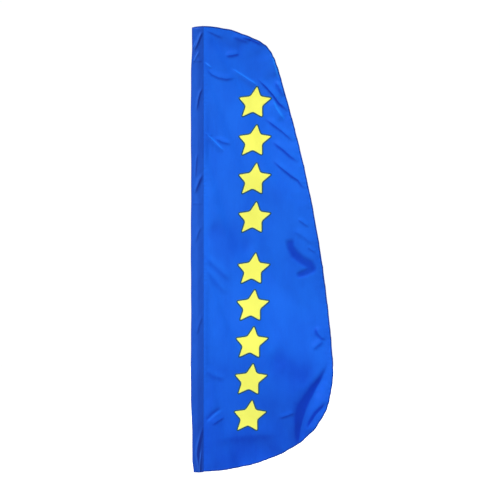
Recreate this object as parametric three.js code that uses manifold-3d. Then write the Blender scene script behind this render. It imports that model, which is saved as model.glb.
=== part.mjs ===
// A straight-sleeve feather flag on a plug-together pole.
// Millimetres, +Z up. The pole's axis is the Z axis and its foot is at the origin. The flag flies
// towards +X, and its printed face looks along -Y.
import * as THREE from 'three';
import { mergeVertices } from 'three/addons/utils/BufferGeometryUtils.js';
import Module from 'manifold-3d';

const wasm = await Module();
wasm.setup();

// ---- driving dimensions ----

// The flag. Its outline is cut to flagWidth by flagHeight.
const flagHeight = 2438;
const flagWidth = 777;
const sleeveWidth = 69;
const hemWidth = 7;
const clothThickness = 0.6;
const hemThickness = 1.6;
const poleRecess = 10; // the pole's foot is this far inside the sleeve's mouth

// The soft wave in the panel
const waveDepth = 22;
const waveLength = 1050;
const waveSlant = 1700;
const waveStart = 330;

// The stars: an upper and a lower group, one above the other. A group's top star and its pitch are
// shares of the flag's width (across) and of its height (up).
const starRadius = 104;
const starWaist = 0.5; // a star's inner radius over its outer radius
const starLean = 0.16;
const tipRound = 22; // how far from a tip its rounding starts, and the same at a waist
const waistRound = 10;
const filmThickness = 0.4;
const upperStars = { count: 4, across: 0.446, up: 0.8277, pitch: 0.0862, drift: -0.0013 };
const lowerStars = { count: 5, across: 0.437, up: 0.4545, pitch: 0.0825, drift: -0.0064 };

// The pole
const tubeRadius = 7;
const tubeWall = 1.2;
const lowerTubeLength = 700;
const middleTubeLength = 800;
const plugDepth = 100;
const ferruleWall = 1.2;
const spindleRadius = 4;
const socketDepth = 96;
const socketFloor = 4;
const socketSpigot = 40;
const rodFootRadius = 4;
const rodTipRadius = 2.5;
const rodSeat = 70;
const reducerCollar = 14;
const pinRadius = 1.5;
const rivetShank = 1.5;
const rivetHead = 2.6;
const rivetTail = 2;
const rivetCrown = 0.4;
const capWall = 1.6;
const capDepth = 28;
const capDome = 5;

// The tie-down loop and its eyelet, at the back of the sleeve
const loopWidth = 20;
const loopLength = 46;
const loopThickness = 1.2;
const loopFold = 20;
const eyeletBore = 4;
const eyeletWall = 0.8;
const eyeletFlange = 2.4;
const eyeletPlate = 0.7;

// Clearances
const gap = 0.3; // between pieces that touch or are sewn together
const slip = 0.3; // round what plugs in or turns, on the radius
const spindleSlack = 0.1; // round the ground stake's spindle, on the radius
const sleeveSlack = 0.6; // between the pole's widest place and the sleeve

// ---- places worked out from them ----

const foldX = -sleeveWidth / 2;
const seamX = sleeveWidth / 2;
const mouthZ = -poleRecess;
const topZ = mouthZ + flagHeight;
const tubeBore = tubeRadius - tubeWall;
const plugRadius = tubeBore - slip;
const lowerFootZ = socketDepth + socketFloor + gap;
const lowerTopZ = lowerFootZ + lowerTubeLength;
const middleFootZ = lowerTopZ + gap;
const middleTopZ = middleFootZ + middleTubeLength;
const collarZ = middleTopZ + gap;
const capRadius = rodTipRadius + slip + capWall;
const ferruleBore = plugRadius - ferruleWall;
const poleReach = tubeRadius + gap + rivetCrown;

// ---- geometry helpers ----

function solidOf(geometry) {
  const bare = geometry.clone();
  bare.deleteAttribute('normal');
  bare.deleteAttribute('uv');
  const merged = mergeVertices(bare, 1e-5);
  const corners = merged.index.array;
  const kept = [];
  for (let i = 0; i < corners.length; i += 3) {
    const [a, b, c] = [corners[i], corners[i + 1], corners[i + 2]];
    if (a !== b && b !== c && c !== a) kept.push(a, b, c);
  }
  const vertProperties = new Float32Array(merged.attributes.position.array);
  const triVerts = new Uint32Array(kept);
  return new wasm.Manifold(new wasm.Mesh({ numProp: 3, vertProperties, triVerts }));
}

function geometryOf(solid) {
  const mesh = solid.getMesh();
  const geometry = new THREE.BufferGeometry();
  geometry.setAttribute('position', new THREE.BufferAttribute(mesh.vertProperties, 3));
  geometry.setIndex(new THREE.BufferAttribute(mesh.triVerts, 1));
  geometry.computeVertexNormals();
  return geometry;
}

function geometryFrom(points, triangles) {
  const geometry = new THREE.BufferGeometry();
  geometry.setAttribute('position', new THREE.Float32BufferAttribute(points.flat(), 3));
  geometry.setIndex(triangles.flat());
  geometry.computeVertexNormals();
  return geometry;
}

// A profile of [radius, height] pairs, turned about the Z axis. Its outer side runs upwards.
function turned(profile, sides = 32) {
  const points = profile.map(([radius, height]) => new THREE.Vector2(radius, height));
  return new THREE.LatheGeometry(points, sides).rotateX(Math.PI / 2);
}

function turnedTube(innerRadius, outerRadius, lowZ, highZ) {
  return turned([
    [outerRadius, lowZ],
    [outerRadius, highZ],
    [innerRadius, highZ],
    [innerRadius, lowZ],
    [outerRadius, lowZ],
  ]);
}

// A turned geometry whose axis is turned from +Z to -Y and moved to a place.
function facingFront(geometry, place) {
  return geometry.rotateX(Math.PI / 2).translate(place.x, place.y, place.z);
}

// A prism whose section is a list of [x, z] points, from nearY back to farY.
function prism(outline, nearY, farY) {
  const shape = new THREE.Shape(outline.map(([x, z]) => new THREE.Vector2(x, z)));
  const options = { depth: farY - nearY, bevelEnabled: false };
  return new THREE.ExtrudeGeometry(shape, options).rotateX(Math.PI / 2).translate(0, farY, 0);
}

// A slab that follows y = surface(x, z), from its near offset to its far one, on grid lines xs and zs.
function slab(surface, near, far, xs, zs) {
  const points = [];
  const triangles = [];
  const columns = xs.length;
  const layer = columns * zs.length;
  for (const offset of [near, far]) {
    for (const z of zs) {
      for (const x of xs) points.push([x, surface(x, z) + offset, z]);
    }
  }
  const quad = (a, b, c, d) => triangles.push([a, b, c], [a, c, d]);
  for (let row = 0; row + 1 < zs.length; row += 1) {
    for (let column = 0; column + 1 < columns; column += 1) {
      const a = row * columns + column;
      const b = a + 1;
      const c = b + columns;
      const d = a + columns;
      quad(a, b, c, d);
      triangles.push([a + layer, c + layer, b + layer], [a + layer, d + layer, c + layer]);
    }
  }
  const last = (zs.length - 1) * columns;
  for (let column = 0; column + 1 < columns; column += 1) {
    quad(column + layer, column + 1 + layer, column + 1, column);
    quad(last + column, last + column + 1, last + column + 1 + layer, last + column + layer);
  }
  for (let row = 0; row + 1 < zs.length; row += 1) {
    const left = row * columns;
    const right = left + columns - 1;
    quad(left, left + columns, left + columns + layer, left + layer);
    quad(right, right + layer, right + columns + layer, right + columns);
  }
  return geometryFrom(points, triangles);
}

// Rings of equal point counts, joined into walls. With inner rings the loft is an open-ended tube.
function loft(outerRings, innerRings) {
  const count = outerRings[0].length;
  const points = [...outerRings, ...(innerRings ?? [])].flat();
  const triangles = [];
  const wall = (first, second, outwards) => {
    for (let i = 0; i < count; i += 1) {
      const next = (i + 1) % count;
      const [a, b, c, d] = [first + i, first + next, second + next, second + i];
      if (outwards) triangles.push([a, b, c], [a, c, d]);
      else triangles.push([a, c, b], [a, d, c]);
    }
  };
  const high = (outerRings.length - 1) * count;
  for (let ring = 0; ring + 1 < outerRings.length; ring += 1) {
    wall(ring * count, (ring + 1) * count, true);
  }
  if (!innerRings) {
    for (let i = 1; i + 1 < count; i += 1) {
      triangles.push([0, i + 1, i], [high, high + i, high + i + 1]);
    }
    return geometryFrom(points, triangles);
  }
  const inner = outerRings.length * count;
  for (let ring = 0; ring + 1 < innerRings.length; ring += 1) {
    wall(inner + ring * count, inner + (ring + 1) * count, false);
  }
  wall(0, inner, false);
  wall(high, inner + high, true);
  return geometryFrom(points, triangles);
}

// ---- the flag's surfaces and outline ----

// The panel hangs in one soft slanting wave that starts from nothing at the seam.
function waveAt(x, z) {
  const away = Math.max(0, x - seamX);
  const share = Math.min(1, away / waveStart);
  const rise = share * share * (3 - 2 * share);
  return waveDepth * rise * Math.sin(2 * Math.PI * (z / waveLength + away / waveSlant));
}

function gridLines(from, to, step) {
  const count = Math.ceil((to - from) / step);
  return Array.from({ length: count + 1 }, (_, i) => from + ((to - from) * i) / count);
}

const gridStep = 60;
const panelXs = gridLines(seamX + gap, foldX + flagWidth + gridStep / 2, gridStep);
const flagXs = [foldX - hemWidth, ...panelXs];
const flagZs = gridLines(mouthZ - gridStep / 2, topZ + gridStep / 2, gridStep);

// The outline from the fold's top, round the crown, down the fly edge and back along the foot to the
// fold. A place on it is a share of the flag's width and of its height.
function flagOutline() {
  const at = (across, up) => new THREE.Vector2(foldX + across * flagWidth, mouthZ + up * flagHeight);
  const curves = [
    [at(0, 0.997), at(0.15, 1.0095), at(0.424, 0.984), at(0.531, 0.956)], // crown
    [at(0.531, 0.956), at(0.6, 0.934), at(0.616, 0.902), at(0.642, 0.873)], // shoulder
    [at(0.642, 0.873), at(0.827, 0.674), at(0.955, 0.454), at(1, 0.246)], // fly edge
    [at(1, 0.246), at(1.002, 0.169), at(0.961, 0.116), at(0.77, 0.066)], // belly
    [at(0.77, 0.066), at(0.54, 0.016), at(0.312, 0.003), at(0, 0)], // foot
  ];
  const steps = [14, 8, 16, 12, 12];
  const path = curves.flatMap((ends, i) => {
    const points = new THREE.CubicBezierCurve(...ends).getPoints(steps[i]);
    return i === 0 ? points : points.slice(1);
  });
  return path.map((point) => [point.x, point.y]);
}

// The same outline moved inwards.
function inset(outline, distance) {
  return outline.map(([x, z], i) => {
    const before = outline[Math.max(i - 1, 0)];
    const after = outline[Math.min(i + 1, outline.length - 1)];
    const [dx, dz] = [after[0] - before[0], after[1] - before[1]];
    const length = Math.hypot(dx, dz);
    return [x + (dz / length) * distance, z - (dx / length) * distance];
  });
}

const outline = flagOutline();
const hemLine = inset(outline, hemWidth);
const clothLine = inset(outline, hemWidth + gap);
const far = 4 * waveDepth + tubeRadius * 4; // past every surface of the flag, front and back

// ---- the sleeve's section ----

const wingGap = 0.3; // half the space between the sleeve's layers at its edges
const mouthFlare = 1.3; // how much wider the hollow is at the mouth, for the facing
const flareHeight = 60;
const cuffHeight = 120;
const facingHeight = 25;
const facingInset = 6;
const ridge = 0.2; // how round the cloth is where it passes over the pole
const cuffTopZ = mouthZ + cuffHeight;

// How far the hollow stands off the middle plane over the pole, at a height. It never grows upwards, so
// the sleeve can slide up off the pole.
function hollowAt(z) {
  const wide = poleReach + sleeveSlack;
  const narrow = capRadius + sleeveSlack;
  const up = THREE.MathUtils.clamp((z - collarZ - reducerCollar) / (topZ - collarZ - reducerCollar), 0, 1);
  const flare = mouthFlare * THREE.MathUtils.clamp(1 - (z - mouthZ) / flareHeight, 0, 1);
  return wide + (narrow - wide) * up + flare;
}

// The tent that cloth makes over the pole: 1 in the middle and 0 at the edges.
function tent(share) {
  return (Math.hypot(1, ridge) - Math.hypot(share, ridge)) / (Math.hypot(1, ridge) - ridge);
}

// A ring round the hollow, anticlockwise from above.
function lensRing(halfWidth, standOff, base, z) {
  const steps = 12;
  const front = [];
  const back = [];
  for (let i = 0; i <= steps; i += 1) {
    const share = -1 + (2 * i) / steps;
    const depth = base + standOff * tent(share);
    front.push([halfWidth * share, -depth, z]);
    back.push([-halfWidth * share, depth, z]);
  }
  return [...front, ...back];
}

const cuffLevels = [mouthZ, mouthZ + flareHeight / 2, mouthZ + flareHeight, cuffTopZ];
const sleeveLevels = [cuffTopZ + gap, lowerTopZ, collarZ + reducerCollar, (collarZ + topZ) / 2, topZ];

// The back of the sleeve, where it passes over the pole.
function behindSleeve(z) {
  return wingGap + clothThickness + hollowAt(z);
}

// What lies under the crown's hem and left of the panel.
function sleeveRegion() {
  const edge = seamX + hemWidth;
  const crown = clothLine.filter(([x, z]) => x < edge + gridStep && z > topZ / 2);
  const low = mouthZ - hemWidth;
  return [[crown[0][0] - hemWidth, crown[0][1]], ...crown, [crown.at(-1)[0], low], [foldX - hemWidth, low]];
}

// ---- the cloth pieces ----

const half = clothThickness / 2;

function mainPanel() {
  const sheet = solidOf(slab(waveAt, -half, half, panelXs, flagZs));
  return geometryOf(sheet.intersect(solidOf(prism(clothLine, -far, far))));
}

// The folded hem round the crown, the fly edge and the foot. It stops where the sleeve's mouth begins.
function edgeHem() {
  const sheet = solidOf(slab(waveAt, -hemThickness / 2, hemThickness / 2, flagXs, flagZs));
  const band = solidOf(prism([...outline, ...hemLine.toReversed()], -far, far));
  const mouth = [
    [foldX - hemWidth, mouthZ - hemWidth],
    [seamX + gap, mouthZ - hemWidth],
    [seamX + gap, topZ / 2],
    [foldX - hemWidth, topZ / 2],
  ];
  return geometryOf(sheet.intersect(band).subtract(solidOf(prism(mouth, -far, far))));
}

// A stretch of the folded strip that the pole runs through.
function sleeveTube(levels) {
  const outer = levels.map((z) => lensRing(seamX, hollowAt(z), wingGap + clothThickness, z));
  const inner = levels.map((z) => lensRing(seamX - clothThickness, hollowAt(z), wingGap, z));
  return loft(outer, inner);
}

function poleSleeve() {
  const tube = solidOf(sleeveTube(sleeveLevels));
  return geometryOf(tube.intersect(solidOf(prism(sleeveRegion(), -far, far))));
}

// The wad of webbing that closes the sleeve's top and rests on the pole's tip.
function tipPocket(lowZ) {
  const rings = [lowZ, topZ].map((z) => lensRing(capRadius * 2, hollowAt(z) - 2 * gap - 1.2, wingGap, z));
  return geometryOf(solidOf(loft(rings)).intersect(solidOf(prism(sleeveRegion(), -far, far))));
}

// The tape that reinforces the mouth from inside.
function mouthFacing() {
  const levels = [mouthZ + gap, mouthZ + facingHeight];
  const shy = clothThickness + gap;
  const width = seamX - facingInset;
  const outer = levels.map((z) => lensRing(width, hollowAt(z) - shy, wingGap + half, z));
  const inner = levels.map((z) => lensRing(width - half, hollowAt(z) - shy, wingGap, z));
  return loft(outer, inner);
}

// A five-pointed star with round tips and waists, leaning towards the fly edge.
function starOutline(centreX, centreZ) {
  const corners = Array.from({ length: 10 }, (_, i) => {
    const angle = Math.PI / 2 + (i * Math.PI) / 5;
    const radius = starRadius * (i % 2 === 0 ? 1 : starWaist);
    const rise = radius * Math.sin(angle);
    return new THREE.Vector2(centreX + radius * Math.cos(angle) + starLean * rise, centreZ + rise);
  });
  return corners.flatMap((corner, i) => {
    const round = i % 2 === 0 ? tipRound : waistRound;
    const towards = (other) => corner.clone().add(other.clone().sub(corner).setLength(round));
    const start = towards(corners.at(i - 1));
    const end = towards(corners[(i + 1) % corners.length]);
    const points = new THREE.QuadraticBezierCurve(start, corner, end).getPoints(i % 2 === 0 ? 4 : 2);
    return points.map((point) => [point.x, point.y]);
  });
}

function starFilm(centreX, centreZ) {
  const near = -(half + gap + filmThickness);
  const sheet = solidOf(slab(waveAt, near, near + filmThickness, panelXs, flagZs));
  return geometryOf(sheet.intersect(solidOf(prism(starOutline(centreX, centreZ), -far, far))));
}

// ---- the tie-down loop ----

const loopBackY = behindSleeve(mouthZ) + gap + 2 * loopThickness;
const loopFootZ = mouthZ + gap;
const eyeletPlace = new THREE.Vector3(0, loopBackY - loopThickness / 2, loopFootZ + loopWidth / 2);

// Webbing that is double where it is sewn to the sleeve and single where it holds the eyelet.
function tieDownLoop() {
  const topOfLoop = loopFootZ + loopLength;
  const footOfFold = topOfLoop - loopFold;
  const side = new THREE.Shape();
  side.moveTo(loopBackY - loopThickness, loopFootZ);
  side.lineTo(loopBackY, loopFootZ);
  side.lineTo(loopBackY, topOfLoop);
  side.lineTo(behindSleeve(topOfLoop) + gap, topOfLoop);
  side.lineTo(behindSleeve(footOfFold) + gap, footOfFold);
  side.lineTo(loopBackY - loopThickness, footOfFold);
  side.closePath();
  const strip = new THREE.ExtrudeGeometry(side, { depth: loopWidth, bevelEnabled: false });
  strip.rotateX(Math.PI / 2).rotateZ(Math.PI / 2).translate(-loopWidth / 2, 0, 0);
  const radius = eyeletBore + eyeletWall + gap;
  const reach = 2 * loopThickness;
  const hole = facingFront(turned([[0, -reach], [radius, -reach], [radius, reach], [0, reach]]), eyeletPlace);
  return geometryOf(solidOf(strip).subtract(solidOf(hole)));
}

function tieDownEyelet() {
  const inside = loopThickness / 2 + gap;
  const outside = inside + eyeletPlate;
  const barrel = eyeletBore + eyeletWall;
  const rim = barrel + eyeletFlange;
  const ring = turned([
    [rim, -outside],
    [rim, -inside],
    [barrel, -inside],
    [barrel, inside],
    [rim, inside],
    [rim, outside],
    [eyeletBore, outside],
    [eyeletBore, -outside],
    [rim, -outside],
  ]);
  return facingFront(ring, eyeletPlace);
}

// ---- the pole ----

// The moulded foot that slides down over a ground stake's spindle. Its bore is blind, and its spigot
// is fixed in the lower tube.
function footSocket() {
  const bore = spindleRadius + spindleSlack;
  const bodyTop = socketDepth + socketFloor;
  return turned([
    [bore, 0],
    [tubeRadius, 0],
    [tubeRadius, bodyTop],
    [plugRadius, bodyTop],
    [plugRadius, bodyTop + socketSpigot],
    [0, bodyTop + socketSpigot],
    [0, socketDepth],
    [bore, socketDepth],
    [bore, 0],
  ]);
}

const rivetZ = middleFootZ + plugDepth / 2;
const rivetTurns = { front: 0, back: Math.PI };

// A rivet's turned profile lies along +Z, its head at the outside of the tube.
function rivetAt(turn) {
  const tail = Math.sqrt(ferruleBore ** 2 - rivetTail ** 2) - gap;
  const head = tubeRadius + gap;
  const rivet = turned([
    [0, tail - rivetCrown],
    [rivetTail, tail - rivetCrown],
    [rivetTail, tail],
    [rivetShank, tail],
    [rivetShank, head],
    [rivetHead, head],
    [0, head + rivetCrown],
  ], 16);
  return rivet.rotateX(Math.PI / 2).rotateZ(turn).translate(0, 0, rivetZ);
}

// The cross hole that both rivets pass through.
function rivetHole() {
  const radius = rivetShank + gap;
  const reach = 2 * tubeRadius;
  const hole = turned([[0, -reach], [radius, -reach], [radius, reach], [0, reach]], 16);
  return solidOf(facingFront(hole, new THREE.Vector3(0, 0, rivetZ)));
}

function middleTube() {
  const tube = turnedTube(tubeBore, tubeRadius, middleFootZ, middleTopZ);
  return geometryOf(solidOf(tube).subtract(rivetHole()));
}

// The spigot that is riveted into the middle tube and plugs down into the lower one.
function middleFerrule() {
  const lowZ = middleFootZ - plugDepth;
  const ferrule = turnedTube(ferruleBore, plugRadius, lowZ, middleFootZ + plugDepth);
  return geometryOf(solidOf(ferrule).subtract(rivetHole()));
}

const rodFootZ = collarZ + reducerCollar - rodSeat;
const pinZ = collarZ + reducerCollar / 2;
const capTopZ = topZ - hemWidth - 12;
const rodTipZ = capTopZ - capDome - gap;

function pinHole() {
  const radius = pinRadius + gap;
  const reach = 2 * tubeRadius;
  const hole = turned([[0, -reach], [radius, -reach], [radius, reach], [0, reach]], 16);
  return solidOf(facingFront(hole, new THREE.Vector3(0, 0, pinZ)));
}

// Plugs down into the middle tube, and carries the rod in a blind bore.
function upperReducer() {
  const bore = rodFootRadius + slip;
  const seatZ = rodFootZ - gap;
  const shoulder = 2;
  const reducer = turned([
    [0, collarZ - plugDepth],
    [plugRadius, collarZ - plugDepth],
    [plugRadius, collarZ],
    [tubeRadius, collarZ],
    [tubeRadius, collarZ + reducerCollar - shoulder],
    [tubeRadius - shoulder, collarZ + reducerCollar],
    [bore, collarZ + reducerCollar],
    [bore, seatZ],
    [0, seatZ],
  ]);
  return geometryOf(solidOf(reducer).subtract(pinHole()));
}

function rodPin() {
  const reach = tubeRadius - gap;
  const pin = turned([[0, -reach], [pinRadius, -reach], [pinRadius, reach], [0, reach]], 16);
  return facingFront(pin, new THREE.Vector3(0, 0, pinZ));
}

// Straight where the reducer holds it, then tapering to the tip.
function poleRod() {
  const rod = turned([
    [0, rodFootZ],
    [rodFootRadius, rodFootZ],
    [rodFootRadius, collarZ + reducerCollar],
    [rodTipRadius, rodTipZ - capDepth],
    [rodTipRadius, rodTipZ],
    [0, rodTipZ],
  ]);
  return geometryOf(solidOf(rod).subtract(pinHole()));
}

// The domed cap that the sleeve's top rests on. It turns on the rod's tip.
function tipCap() {
  const bore = rodTipRadius + slip;
  const dome = Array.from({ length: 6 }, (_, i) => {
    const angle = (i * Math.PI) / 10;
    return [capRadius * Math.cos(angle), capTopZ - capDome + capDome * Math.sin(angle)];
  });
  dome[5][0] = 0;
  return turned([
    [bore, rodTipZ - capDepth + capWall],
    [capRadius, rodTipZ - capDepth + capWall],
    ...dome,
    [0, rodTipZ + gap],
    [bore, rodTipZ + gap],
    [bore, rodTipZ - capDepth + capWall],
  ]);
}

// ---- materials ----

function finish(colour, roughness, metalness = 0) {
  return new THREE.MeshStandardMaterial({ color: colour, roughness, metalness });
}

const finishes = {
  panelCloth: () => finish(0x1c4fd6, 0.75),
  sleeveCloth: () => finish(0x1a44b8, 0.78),
  hemCloth: () => finish(0x163a9c, 0.8),
  film: () => finish(0xf6f25e, 0.55),
  webbing: () => finish(0x16327a, 0.85),
  aluminium: () => finish(0xb9bcc0, 0.35, 1),
  steel: () => finish(0x9a9da2, 0.3, 1),
  brass: () => finish(0xb9903c, 0.35, 1),
  plastic: () => finish(0x1b1b1d, 0.5),
  fibreglass: () => finish(0xe6e4da, 0.45),
};

// ---- the assembly ----

const group = new THREE.Group();

function add(name, geometry, material) {
  const mesh = new THREE.Mesh(geometry, material());
  mesh.name = name;
  group.add(mesh);
}

add('main_panel', mainPanel(), finishes.panelCloth);
add('pole_sleeve', poleSleeve(), finishes.sleeveCloth);
add('sleeve_cuff', sleeveTube(cuffLevels), finishes.sleeveCloth);
add('edge_hem', edgeHem(), finishes.hemCloth);
add('tip_pocket', tipPocket(capTopZ + gap), finishes.webbing);
add('mouth_facing', mouthFacing(), finishes.webbing);
add('tie_down_loop', tieDownLoop(), finishes.webbing);
add('tie_down_eyelet', tieDownEyelet(), finishes.brass);

let starNumber = 1;
for (const column of [upperStars, lowerStars]) {
  for (let i = 0; i < column.count; i += 1) {
    const x = foldX + (column.across + i * column.drift) * flagWidth;
    const z = mouthZ + (column.up - i * column.pitch) * flagHeight;
    add(`star_${starNumber}`, starFilm(x, z), finishes.film);
    starNumber += 1;
  }
}

add('foot_socket', footSocket(), finishes.plastic);
add('lower_tube', turnedTube(tubeBore, tubeRadius, lowerFootZ, lowerTopZ), finishes.aluminium);
add('middle_tube', middleTube(), finishes.aluminium);
add('middle_ferrule', middleFerrule(), finishes.aluminium);
for (const [side, turn] of Object.entries(rivetTurns)) {
  add(`ferrule_rivet_${side}`, rivetAt(turn), finishes.steel);
}
add('upper_reducer', upperReducer(), finishes.plastic);
add('rod_pin', rodPin(), finishes.steel);
add('pole_rod', poleRod(), finishes.fibreglass);
add('tip_cap', tipCap(), finishes.plastic);

export default group;
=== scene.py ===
"""Looks of the feather flag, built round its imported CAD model.

Metres, +Z up. The pole is the Z axis, the flag flies towards +X and its face looks along -Y.
"""

import math

import bpy
import numpy as np
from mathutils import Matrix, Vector
from mathutils.geometry import delaunay_2d_cdt
from mathutils.kdtree import KDTree


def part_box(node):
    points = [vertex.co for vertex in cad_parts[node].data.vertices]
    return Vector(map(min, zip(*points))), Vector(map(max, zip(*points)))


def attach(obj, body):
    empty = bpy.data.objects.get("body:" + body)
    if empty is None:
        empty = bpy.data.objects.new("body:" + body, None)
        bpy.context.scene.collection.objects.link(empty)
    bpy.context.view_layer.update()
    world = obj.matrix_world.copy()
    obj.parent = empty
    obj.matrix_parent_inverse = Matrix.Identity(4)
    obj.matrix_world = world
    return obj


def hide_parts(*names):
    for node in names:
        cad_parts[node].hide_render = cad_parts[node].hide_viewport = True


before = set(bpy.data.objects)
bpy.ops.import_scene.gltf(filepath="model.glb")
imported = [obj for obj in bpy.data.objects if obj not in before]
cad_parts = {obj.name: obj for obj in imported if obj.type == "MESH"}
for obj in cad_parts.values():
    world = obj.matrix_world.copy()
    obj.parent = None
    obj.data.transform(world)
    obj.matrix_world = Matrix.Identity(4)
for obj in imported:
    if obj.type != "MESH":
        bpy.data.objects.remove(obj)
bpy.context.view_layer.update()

# ---- sizes, which repeat the CAD's ----

FLAG_W, FLAG_H = 0.777, 2.438
SLEEVE_W = 0.069
HEM = 0.007
MOUTH_Z = -0.010
FOLD_X, SEAM_X = -SLEEVE_W / 2, SLEEVE_W / 2
TOP_Z = MOUTH_Z + FLAG_H
WAVE_DEPTH, WAVE_LENGTH, WAVE_SLANT, WAVE_START = 0.022, 1.050, 1.700, 0.330
STAR_R, STAR_WAIST, STAR_LEAN = 0.104, 0.5, 0.16
TIP_ROUND, WAIST_ROUND = 0.022, 0.010
STAR_GROUPS = (
    {"count": 4, "across": 0.446, "up": 0.8277, "pitch": 0.0862, "drift": -0.0013},
    {"count": 5, "across": 0.437, "up": 0.4545, "pitch": 0.0825, "drift": -0.0064},
)
POLE_REACH, CAP_REACH = 0.0083, 0.0050  # how far the sleeve stands off at the tubes and at the tip
REDUCER_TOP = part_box("upper_reducer")[1].z
CAP_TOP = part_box("tip_cap")[1].z
CLOTH_T = 0.0004
CUT_INSET = 0.0012  # from the hem's outer edge to the panel's cut edge, under the fold
SEAM_TUCK = 0.004  # how far the panel reaches into the sleeve's seam
SLEEVE_GAP = 0.0003  # from the middle plane to the sleeve's inner face, where it is closed
GRID = 0.006  # the panel's mesh

rng = np.random.default_rng(7)


# ---- stage, camera and light ----

CAMERA_PLACE, LENS_MM = (0.288, -10.24, 1.205), 135
WORLD_LIGHT, WORLD_WHITE = 0.12, 1.02  # how it lights the flag, and how the camera sees it


def add_object(name, data):
    made = bpy.data.objects.new(name, data)
    bpy.context.scene.collection.objects.link(made)
    return made


def by_ray(tree, output, lit, seen):
    """Light that falls on the object comes from lit, and the camera sees the other shader."""
    path = tree.nodes.new("ShaderNodeLightPath")
    mix = tree.nodes.new("ShaderNodeMixShader")
    tree.links.new(path.outputs["Is Camera Ray"], mix.inputs["Fac"])
    tree.links.new(lit.outputs[0], mix.inputs[1])
    tree.links.new(seen.outputs[0], mix.inputs[2])
    tree.links.new(mix.outputs["Shader"], tree.nodes[output].inputs["Surface"])


def floor_paint():
    made = bpy.data.materials.new("floor_paint")
    made.use_nodes = True
    tree = made.node_tree
    seen = tree.nodes["Principled BSDF"]
    seen.inputs["Base Color"].default_value = (0.86, 0.86, 0.86, 1)
    seen.inputs["Roughness"].default_value = 0.9
    seen.inputs["Emission Color"].default_value = (1, 1, 1, 1)
    seen.inputs["Emission Strength"].default_value = 0.75
    dull = tree.nodes.new("ShaderNodeBsdfDiffuse")
    dull.inputs["Color"].default_value = (0.6, 0.6, 0.6, 1)
    by_ray(tree, "Material Output", dull, seen)
    return made


def make_floor():
    height, reach, steps = -0.30, 14.0, 48
    turns = [2 * math.pi * i / steps for i in range(steps)]
    points = [(reach * math.cos(a), reach * math.sin(a), height) for a in turns]
    mesh = bpy.data.meshes.new("floor")
    mesh.from_pydata(points, [], [tuple(range(steps))])
    mesh.materials.append(floor_paint())
    floor = add_object("floor", mesh)


def make_world():
    world = bpy.data.worlds.new("studio")
    world.use_nodes = True
    lit = world.node_tree.nodes["Background"]
    seen = world.node_tree.nodes.new("ShaderNodeBackground")
    for shader, strength in ((lit, WORLD_LIGHT), (seen, WORLD_WHITE)):
        shader.inputs["Color"].default_value = (1, 1, 1, 1)
        shader.inputs["Strength"].default_value = strength
    by_ray(world.node_tree, "World Output", lit, seen)
    bpy.context.scene.world = world


def aimed_light(name, kind, energy, direction):
    made = add_object(name, bpy.data.lights.new(name, kind))
    made.data.energy = energy
    made.rotation_euler = Vector(direction).to_track_quat("-Z", "Y").to_euler()
    return made


def area_light(name, place, target, size, power):
    made = aimed_light(name, "AREA", power, Vector(target) - Vector(place))
    made.data.shape = "SQUARE"
    made.data.size = size
    made.location = place
    made.visible_camera = False


def distant_light(name, direction, strength, angle):
    """Parallel light that travels along direction, from a disc of angle degrees."""
    made = aimed_light(name, "SUN", strength, direction)
    made.data.angle = math.radians(angle)


def make_camera():
    camera = add_object("camera", bpy.data.cameras.new("camera"))
    camera.data.lens = LENS_MM
    camera.data.sensor_width = 36
    camera.location = CAMERA_PLACE
    camera.rotation_euler = (math.pi / 2, 0, 0)
    camera.data.clip_end = 60
    bpy.context.scene.camera = camera


make_camera()
make_floor()
make_world()
distant_light("key", (0.22, 0.50, -0.84), strength=3.5, angle=6)
area_light("fill", (0.1, -1.9, 1.6), target=(0.3, 0, 1.6), size=1.0, power=6)
area_light("back", (1.6, 3.0, 2.8), target=(0.3, 0, 1.3), size=1.6, power=60)
bpy.context.scene.view_settings.view_transform = "Standard"


# ---- the flag's outline and surface ----

def smooth(t):
    t = np.clip(t, 0, 1)
    return t * t * (3 - 2 * t)


def faded_ends(share, rate):
    """1 along a line and 0 at its ends, which it reaches in 1 / rate of its length."""
    return smooth(share * rate) * smooth((1 - share) * rate)


def bezier(ends, steps):
    t = np.linspace(0, 1, steps)[:, None]
    a, b, c, d = (np.array(p, float) for p in ends)
    return (1 - t) ** 3 * a + 3 * t * (1 - t) ** 2 * b + 3 * t * t * (1 - t) * c + t ** 3 * d


def run_along(line):
    """The distance along a line of points, at each of them."""
    return np.concatenate([[0], np.cumsum(np.linalg.norm(np.diff(line, axis=0), axis=1))])


def spaced(line, step, closed=False):
    """The line's points, moved to be evenly spaced."""
    line = np.vstack([line, line[:1]]) if closed else line
    lengths = run_along(line)
    count = max(4, round(lengths[-1] / step))
    at = np.linspace(0, lengths[-1], count + 1)
    at = at[:-1] if closed else at
    return np.column_stack([np.interp(at, lengths, line[:, i]) for i in range(2)])


def uneven_sine(t, rate, swing, swing_rate):
    """A sine whose pitch comes and goes."""
    return np.sin(t * rate + swing * np.sin(t * swing_rate))


def fold_drift(z):
    """How far the sleeve's folded edge wanders towards the pole."""
    top = 0.005 * smooth((z - 2.18) / 0.15)
    low = 0.006 * smooth((0.42 - z) / 0.25)
    corner = 0.008 * smooth((0.06 - z) / 0.07)
    return top + low + corner + 0.0008 * np.sin(z * 9.0) + 0.0004 * np.sin(z * 31.0)


def drifted(x, z):
    """How far a point of the sleeve moves sideways with the folded edge."""
    return fold_drift(z) * (np.maximum(SEAM_X - x, 0) / SLEEVE_W) ** 2


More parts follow.
